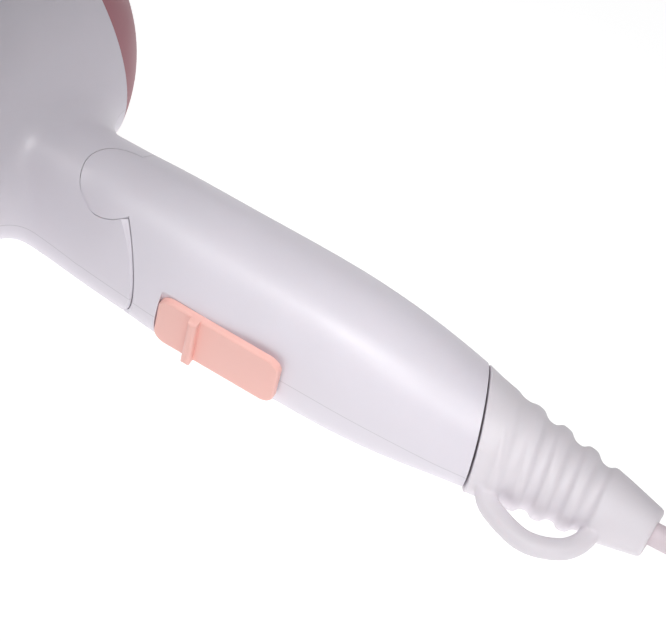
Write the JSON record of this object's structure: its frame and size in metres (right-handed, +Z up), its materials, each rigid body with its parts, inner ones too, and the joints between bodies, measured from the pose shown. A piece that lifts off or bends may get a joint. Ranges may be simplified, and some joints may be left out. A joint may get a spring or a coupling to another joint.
{
  "type": "travel hair dryer",
  "caption": "Folding hair dryer on its side: tapered barrel with domed rear intake cap, hinged handle, slide switch, grooved cord guard with hanging loop, coiled lead and plug.",
  "frame": {"origin": "bottom centre of the dryer's box as it rests on its right side, cord, coil and plug left out", "axes": "+Z up from the table; the handle's tail points to -Y, the nozzle to -X, the dryer's left side up"},
  "size_m": [0.1564, 0.379, 0.0739],
  "materials": {
    "shell_white": "glossy",
    "handle_white": "glossy",
    "cap_pink": "glossy",
    "switch_salmon": "satin",
    "guard_white": "satin",
    "cord_pink": "satin",
    "collar_grey": "glossy",
    "grille_black": "satin",
    "mica": "satin",
    "nichrome": "brushed",
    "motor_steel": "brushed",
    "duct_black": "matte",
    "fan_black": "satin",
    "steel": "bright",
    "brass": "bright",
    "board_green": "satin",
    "lead_red": "satin",
    "clamp_nylon": "matte",
    "fuse_white": "glossy"
  },
  "bodies": {
    "root": {"head_shell_left": "shell_white", "head_shell_right": "shell_white", "intake_cover": "cap_pink", "intake_mesh": "grille_black", "outlet_ring": "collar_grey", "outlet_grille": "grille_black", "heater_tube": "mica", "mica_frame": "mica", "heating_coils": "nichrome", "thermostat": "motor_steel", "thermal_fuse": "fuse_white", "motor_case": "motor_steel", "motor_mount": "duct_black", "head_screws": "steel", "hinge_pin": "steel", "hinge_washers": "steel"},
    "fan": {"fan": "fan_black", "motor_shaft": "steel"},
    "handle": {"handle_shell_left": "handle_white", "handle_shell_right": "handle_white", "handle_screws": "steel", "switch_housing": "duct_black", "switch_contacts": "brass", "diode_board": "board_green", "inner_leads": "lead_red", "cord_clamp": "clamp_nylon", "cord_guard": "guard_white", "inner_cord": "cord_pink", "cord": "cord_pink", "plug_lead": "cord_pink", "cord_coil": "cord_pink", "plug_body": "cord_pink", "plug_pins": "brass"},
    "switch": {"switch_button": "switch_salmon", "contact_carriage": "duct_black"}
  },
  "joints": [
    {"name": "handle_fold", "type": "hinge", "parent": "root", "child": "handle", "pos_m": [0.00595, 0.0308, 0.02724], "axis": [0.0934, 0.1127, -0.9892], "range_deg": [0, 80]},
    {"name": "fan_spin", "type": "hinge", "parent": "root", "child": "fan", "pos_m": [0.03585, 0.0818, 0.03588], "axis": [-0.9927, 0.0868, -0.0839], "continuous": true},
    {"name": "switch_slide", "type": "slide", "parent": "handle", "child": "switch", "axis": [0, -0.9936, -0.1132], "range_m": [0, 0.01]}
  ]
}
